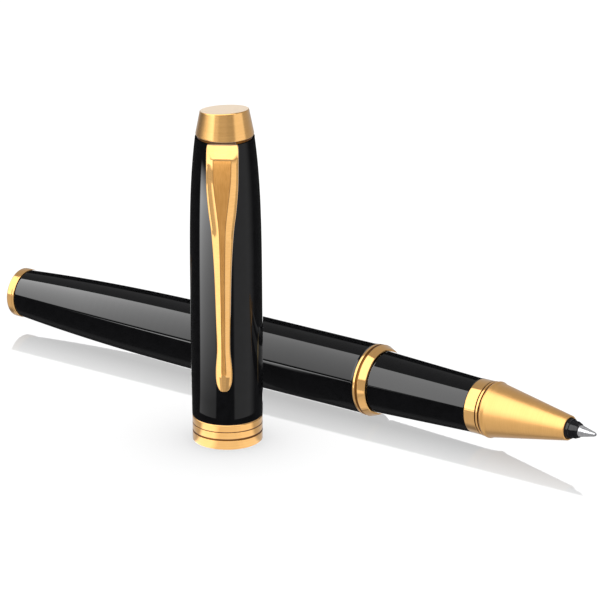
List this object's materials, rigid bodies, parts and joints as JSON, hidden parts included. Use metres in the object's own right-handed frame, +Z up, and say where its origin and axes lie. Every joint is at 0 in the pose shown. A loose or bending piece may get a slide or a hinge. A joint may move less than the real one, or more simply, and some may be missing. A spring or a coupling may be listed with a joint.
{
  "type": "rollerball pen",
  "caption": "Black and gold rollerball pen with its cap off, the cap standing on its mouth beside the lying pen.",
  "frame": {"origin": "centre of the bounding box, on the floor that the pen and its cap rest on", "axes": "+X along the pen from tail to writing point, +Z up along the standing cap from its mouth to its finial, -Y towards the side where the cap stands"},
  "size_m": [0.1212, 0.0371, 0.0584],
  "materials": {
    "black_lacquer": "high-gloss black resin",
    "polished_gold": "mirror-polished gold plate on brass",
    "satin_gold": "satin gold plate on brass",
    "brass": "plain machined brass",
    "steel": "fine turned stainless steel",
    "black_plastic": "moulded black plastic",
    "white_plastic": "moulded white plastic",
    "wick": "fibre bundle soaked with dark blue ink",
    "carbide": "polished dark carbide"
  },
  "bodies": {
    "barrel": {"barrel_tube": "black_lacquer", "tail_cap": "polished_gold", "tail_screw": "steel", "spring_seat": "white_plastic", "refill_spring": "steel", "barrel_sleeve": "brass", "centre_ring": "polished_gold"},
    "refill": {"refill_plug": "black_plastic", "refill_tube": "white_plastic", "ink_wick": "wick", "refill_nose": "black_plastic", "ink_feed": "wick", "steel_point": "steel"},
    "section": {"section_bushing": "brass", "grip_sleeve": "black_lacquer", "nose_collar": "polished_gold", "nose_cone": "satin_gold"},
    "ball": {"tip_ball": "carbide"},
    "cap": {"cap_band": "polished_gold", "cap_tube": "black_lacquer", "cap_liner": "black_plastic", "snap_ring": "steel", "clip_ring": "brass", "cap_finial": "polished_gold", "finial_screw": "steel"},
    "clip": {"clip": "polished_gold"}
  },
  "joints": [
    {"name": "cap_lift", "type": "slide", "parent": "barrel", "child": "cap", "axis": [0, 0, 1], "range_m": [0, 0.1]},
    {"name": "clip_flex", "type": "hinge", "parent": "cap", "child": "clip", "pos_m": [0.00489, -0.01526, 0.05335], "axis": [-0.8425, -0.5388, 0], "range_deg": [0, 4], "stiffness_Nm_per_rad": 3.6},
    {"name": "refill_advance", "type": "slide", "parent": "barrel", "child": "refill", "axis": [1, 0, 0], "range_m": [0, 0.004], "deforming": ["refill_spring"]},
    {"name": "section_unscrew", "type": "hinge", "parent": "refill", "child": "section", "pos_m": [0.01773, 0.01241, 0.00622], "axis": [1, 0, 0], "range_deg": [0, 1800]},
    {"name": "ball_roll", "type": "hinge", "parent": "refill", "child": "ball", "pos_m": [0.06037, 0.01241, 0.00622], "axis": [0, 1, 0], "continuous": true}
  ],
  "couplings": [
    {"joint": "section_unscrew", "follows": "refill_advance", "rad_per_m": 7854}
  ]
}
